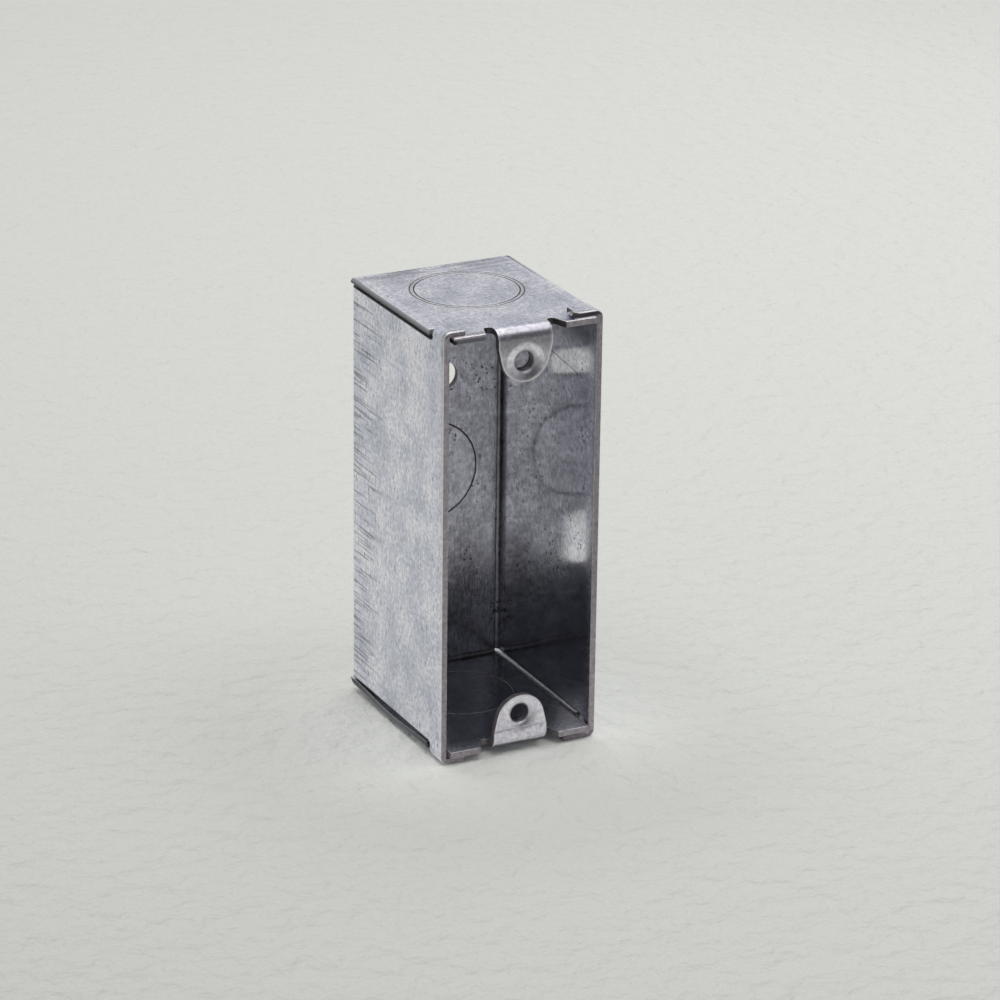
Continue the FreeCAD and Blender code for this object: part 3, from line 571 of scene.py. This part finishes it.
# Cut thread of the screw holes: bare steel with a groove every 0.6 mm, as in any M3.5 hole, painted
# dark as painted shade inside the hole, and darkest in the groove bottoms, painted shade in them.
thread, tree, place = new_material("tapped_steel_thread")
PITCH, GROOVE_DEPTH = 0.6 * MM, 0.2 * MM
WAVES_PER_UNIT = 20 / (2 * math.pi)      # of the wave texture at a scale of 1
grooves = add(tree, "ShaderNodeTexWave", {"Vector": place, "Scale": 1 / (PITCH * WAVES_PER_UNIT),
                                          "Distortion": 0.4}, bands_direction="Y")
thread_painted_shade = add(tree, "ShaderNodeMix", {0: grooves.outputs[1], 6: linear("#4E4C50"),
                                          7: linear("#98969A")}, data_type="RGBA")
groove_bump = add(tree, "ShaderNodeBump", {"Height": grooves.outputs[1], "Distance": GROOVE_DEPTH})
metal = add(tree, "ShaderNodeBsdfPrincipled", {
    "Base Color": thread_painted_shade.outputs[2], "Metallic": 1.0, "Roughness": 0.35,
    "Normal": groove_bump.outputs[0]})
add(tree, "ShaderNodeOutputMaterial", {"Surface": metal.outputs[0]})

# The folded sheet itself. A face with more than 1.6 sheets of steel behind it is a sheared edge,
# and so is the bottom of a knockout's groove. The screw holes have their thread and a drawn mouth.
FACE_OF_SHEET = 1.6 * SHEET      # the most steel behind a face of the sheet
KNOCKOUT_REACH = 9.5 * MM
DRAWN_MOUTH = 2.45 * MM
SAME_POINT, NO_LENGTH = 0.001 * MM, 0.0005 * MM
SHARPEST_SMOOTH_EDGE = math.radians(28)
FINISHES = (zinc, raw_edge, thread)
shell = bmesh.new()
shell.from_mesh(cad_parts["back_box"].data)
bmesh.ops.remove_doubles(shell, verts=shell.verts, dist=SAME_POINT)
bmesh.ops.dissolve_degenerate(shell, edges=shell.edges, dist=NO_LENGTH)

# The bottom panel sags between its bend and its tabs, most along the left edge.
SAG = 0.6 * MM
SAG_FRONT, SAG_BACK, SAG_RIGHT = 5.5 * MM, 33.4 * MM, 6.0 * MM
TOP_OF_BOTTOM_PANEL = -HALF_HEIGHT + 1.02 * SHEET
CUTS = 12
cuts = [(Vector((0, SAG_FRONT + (SAG_BACK - SAG_FRONT) * k / CUTS, 0)), Vector((0, 1, 0)))
        for k in range(CUTS + 1)]
cuts += [(Vector((SAG_RIGHT - (SAG_RIGHT + HALF_WIDTH) * k / CUTS, 0, 0)), Vector((1, 0, 0)))
         for k in range(CUTS)]
for middle, along in cuts:
    sheet_faces = [face for face in shell.faces
                   if all(v.co.z < TOP_OF_BOTTOM_PANEL for v in face.verts)]
    edges = {edge for face in sheet_faces for edge in face.edges}
    corners = {v for face in sheet_faces for v in face.verts}
    bmesh.ops.bisect_plane(shell, geom=sheet_faces + list(edges) + list(corners),
                           dist=NO_LENGTH, plane_co=middle, plane_no=along)
for v in shell.verts:
    if v.co.z < TOP_OF_BOTTOM_PANEL and SAG_FRONT < v.co.y < SAG_BACK and v.co.x < SAG_RIGHT:
        lengthwise = math.sin(math.pi * (v.co.y - SAG_FRONT) / (SAG_BACK - SAG_FRONT)) ** 2
        sideways = (SAG_RIGHT - v.co.x) / (SAG_RIGHT + HALF_WIDTH)
        v.co.z -= SAG * lengthwise * sideways ** 2

steel = BVHTree.FromBMesh(shell)
for face in shell.faces:
    centre = face.calc_center_median()
    hit = steel.ray_cast(centre - face.normal * 0.01 * MM, -face.normal)
    from_screw = math.hypot(centre.x, abs(centre.z) - SCREW_HEIGHT)
    in_top = 0.01 * SHEET < HALF_HEIGHT - centre.z < 0.99 * SHEET
    in_back = 0.01 * SHEET < DEPTH - centre.y < 0.99 * SHEET
    in_groove = ((in_top and math.hypot(centre.x, centre.y - KNOCKOUT_FROM_FRONT) < KNOCKOUT_REACH)
                 or (in_back and math.hypot(centre.x, centre.z) < KNOCKOUT_REACH))
    if from_screw < 1.05 * SCREW_HOLE and abs(face.normal.y) < 0.3:
        face.material_index = FINISHES.index(thread)
    elif from_screw < DRAWN_MOUTH or (
            hit[3] is not None and hit[3] < FACE_OF_SHEET and not in_groove):
        face.material_index = FINISHES.index(zinc)
    else:
        face.material_index = FINISHES.index(raw_edge)
    face.smooth = True
for edge in shell.edges:
    edge.smooth = len(edge.link_faces) == 2 and edge.calc_face_angle() < SHARPEST_SMOOTH_EDGE
mesh = bpy.data.meshes.new("folded_steel_box")
shell.to_mesh(mesh)
shell.free()
for material in FINISHES:
    mesh.materials.append(material)
folded_box = bpy.data.objects.new("folded_steel_box", mesh)
bpy.context.collection.objects.link(folded_box)
evenly_lit = folded_box.modifiers.new("flat_faces_first", "WEIGHTED_NORMAL")
evenly_lit.weight = 100
evenly_lit.keep_sharp = True
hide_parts("back_box")
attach(folded_box, "root")


# Floor: a pale matt plaster surface on which the box stands upright, lightly trowelled. It is painted
# paler towards the back right and close to the box: painted light for the lamp's fall-off and against
# the box's soft shadow.
FLOOR_REACH = 4.0
TROWEL, TROWEL_DEPTH = 4.0 * MM, 1.5 * MM
BACK_RIGHT = (0.85, 0.45, 0.0)
DARK_END, PALE_END = -0.12, 0.38      # along that direction
LIT_MIDDLE_X, LIT_MIDDLE_Y = -1.5 * MM, 10.5 * MM
LIT_MOST, LIT_LEAST = 14.0 * MM, 46.0 * MM      # from that middle
bottom = cad_box[0][2]
ground = bmesh.new()
bmesh.ops.create_grid(ground, x_segments=1, y_segments=1, size=FLOOR_REACH)
bmesh.ops.translate(ground, verts=ground.verts, vec=(0, 0, bottom))
mesh = bpy.data.meshes.new("plaster_floor")
ground.to_mesh(mesh)
ground.free()
floor = bpy.data.objects.new("plaster_floor", mesh)
bpy.context.collection.objects.link(floor)
plaster, tree, place = new_material("matt_plaster")
trowelled = add(tree, "ShaderNodeTexNoise", {"Vector": place, "Scale": 1 / TROWEL, "Detail": 4.0,
                                             "Roughness": 0.5})
plaster_bump = add(tree, "ShaderNodeBump", {"Height": trowelled.outputs[0], "Strength": 1.0,
                                            "Distance": TROWEL_DEPTH})
to_back = add(tree, "ShaderNodeVectorMath", {0: place, 1: BACK_RIGHT}, operation="DOT_PRODUCT")
# Painted light: paler towards the back right.
back_right_painted_light = add(tree, "ShaderNodeMapRange", {0: to_back.outputs["Value"], 1: DARK_END, 2: PALE_END})
plaster_tone = add(tree, "ShaderNodeMix", {0: back_right_painted_light.outputs[0], 6: linear("#C9CAC5"),
                                           7: linear("#ECEDE8")}, data_type="RGBA")
from_box = add(tree, "ShaderNodeVectorMath", {0: place, 1: (LIT_MIDDLE_X, LIT_MIDDLE_Y, bottom)},
               operation="DISTANCE")
# Painted light: paler close to the box, where its soft shadow lies.
near_box_painted_light = add(tree, "ShaderNodeMapRange", {0: from_box.outputs["Value"], 1: LIT_MOST, 2: LIT_LEAST,
                                        3: 1.0, 4: 0.0})
near_box_painted_light = add(tree, "ShaderNodeMath", {0: near_box_painted_light.outputs[0], 1: 2.0}, operation="POWER")
painted_light_factor = add(tree, "ShaderNodeMath", {0: near_box_painted_light.outputs[0], 1: 0.42, 2: 1.0}, operation="MULTIPLY_ADD")
plaster_tone = add(tree, "ShaderNodeMix", {0: 1.0, 6: plaster_tone.outputs[2], 7: painted_light_factor.outputs[0]},
                   data_type="RGBA", blend_type="MULTIPLY")
matt = add(tree, "ShaderNodeBsdfPrincipled", {
    "Base Color": plaster_tone.outputs[2], "Roughness": 0.9, "Specular IOR Level": 0.1,
    "Normal": plaster_bump.outputs[0]})
add(tree, "ShaderNodeOutputMaterial", {"Surface": matt.outputs[0]})
mesh.materials.append(plaster)


# Light: a white studio room that falls off to dark in front, on the camera's side, and one broad
# softbox that hangs level above the box.
DARK_SIDE = (0.0, -0.94, 0.34)
DARK_FROM, DARK_FULL = 0.66, 0.88      # along that direction
world = bpy.data.worlds.new("studio")
bpy.context.scene.world = world
world.use_nodes = True
tree = world.node_tree
tree.nodes.clear()
direction = add(tree, "ShaderNodeTexCoord").outputs["Generated"]
towards = add(tree, "ShaderNodeVectorMath", {0: direction, 1: DARK_SIDE}, operation="DOT_PRODUCT")
shaded = add(tree, "ShaderNodeMapRange", {0: towards.outputs["Value"], 1: DARK_FROM, 2: DARK_FULL},
             interpolation_type="SMOOTHSTEP")
room = add(tree, "ShaderNodeMix", {0: shaded.outputs[0], 6: linear("#C6C6C6"), 7: linear("#54575C")},
           data_type="RGBA")
light_path = add(tree, "ShaderNodeLightPath")
lit = add(tree, "ShaderNodeBackground", {"Color": room.outputs[2], "Strength": 1.0})
seen = add(tree, "ShaderNodeBackground", {"Color": linear("#DDDEDA"), "Strength": 1.0})
mixed = add(tree, "ShaderNodeMixShader", {0: light_path.outputs["Is Camera Ray"],
                                          1: lit.outputs[0], 2: seen.outputs[0]})
add(tree, "ShaderNodeOutputWorld", {"Surface": mixed.outputs[0]})

softbox = bpy.data.lights.new("softbox", "AREA")
softbox.shape = "SQUARE"
softbox.size = 0.75
softbox.energy = 3.0
lamp = bpy.data.objects.new("softbox", softbox)
lamp.location = (0.06, 0.04, 0.6)
bpy.context.collection.objects.link(lamp)


# Camera: a long lens, from the left, in front and a little above, level but for a slight roll.
azimuth = math.radians(-27.067)
elevation = math.radians(21.408)
roll = math.radians(0.735)
distance = 672.6 * MM
aside, lifted = 3.694 * MM, -6.488 * MM
back = Vector((math.sin(azimuth) * math.cos(elevation), -math.cos(azimuth) * math.cos(elevation),
               math.sin(elevation)))
level = (-back).cross(Vector((0, 0, 1))).normalized()
upright = level.cross(-back)
right = level * math.cos(roll) + upright * math.sin(roll)
up = upright * math.cos(roll) - level * math.sin(roll)
lens = bpy.data.cameras.new("camera")
lens.sensor_width = 36.0
lens.lens = 152.19
lens.clip_end = 20.0
camera = bpy.data.objects.new("camera", lens)
camera.matrix_world = (Matrix.Translation(back * distance - right * aside - up * lifted)
                       @ Matrix((right, up, back)).transposed().to_4x4())
bpy.context.collection.objects.link(camera)
bpy.context.scene.camera = camera
bpy.context.scene.view_settings.view_transform = "Standard"
